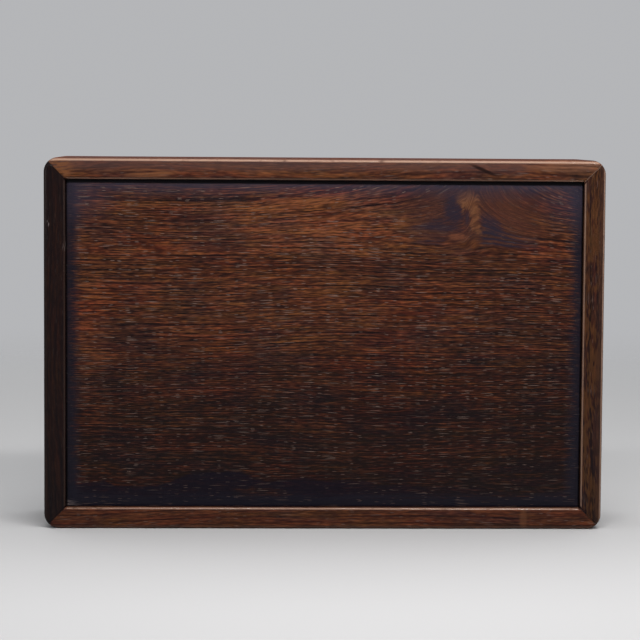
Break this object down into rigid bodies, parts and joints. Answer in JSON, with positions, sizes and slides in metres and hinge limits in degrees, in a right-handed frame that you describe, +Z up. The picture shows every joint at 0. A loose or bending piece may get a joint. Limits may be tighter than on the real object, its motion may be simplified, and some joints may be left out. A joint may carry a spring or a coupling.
{
  "type": "ink stick and stone box",
  "caption": "Shallow hardwood box with mitred frame, recessed floating base, lift-off lid on a lip and partitioned wells for an ink stone and ink sticks.",
  "frame": {"origin": "under the middle of the long side that the box stands on in the picture", "axes": "+X along the box's length, +Y from its base to its lid, +Z up, across its width"},
  "size_m": [0.27, 0.06, 0.179],
  "materials": {
    "frame_wood": "dark oiled hardwood, satin, worn lighter along the arrises",
    "panel_wood": "dark oiled figured hardwood, satin, with ink-darkened patches",
    "inner_wood": "unhandled inside hardwood, dull",
    "spline_wood": "plain unfinished hardwood, hidden in the joints"
  },
  "bodies": {
    "body": {"body_front_board": "frame_wood", "body_back_board": "frame_wood", "body_left_board": "frame_wood", "body_right_board": "frame_wood", "base_panel": "panel_wood", "body_spline_front_left": "spline_wood", "body_spline_front_right": "spline_wood", "body_spline_back_left": "spline_wood", "body_spline_back_right": "spline_wood", "long_partition": "inner_wood", "water_pot_partition": "inner_wood", "ink_stick_partition": "inner_wood"},
    "lid": {"lid_front_board": "frame_wood", "lid_back_board": "frame_wood", "lid_left_board": "frame_wood", "lid_right_board": "frame_wood", "lid_panel": "panel_wood", "lid_batten_left": "inner_wood", "lid_batten_right": "inner_wood", "lid_spline_front_left": "spline_wood", "lid_spline_front_right": "spline_wood", "lid_spline_back_left": "spline_wood", "lid_spline_back_right": "spline_wood"}
  },
  "joints": [
    {"name": "lid_lift", "type": "slide", "parent": "body", "child": "lid", "axis": [0, 1, 0], "range_m": [0, 0.1]}
  ]
}
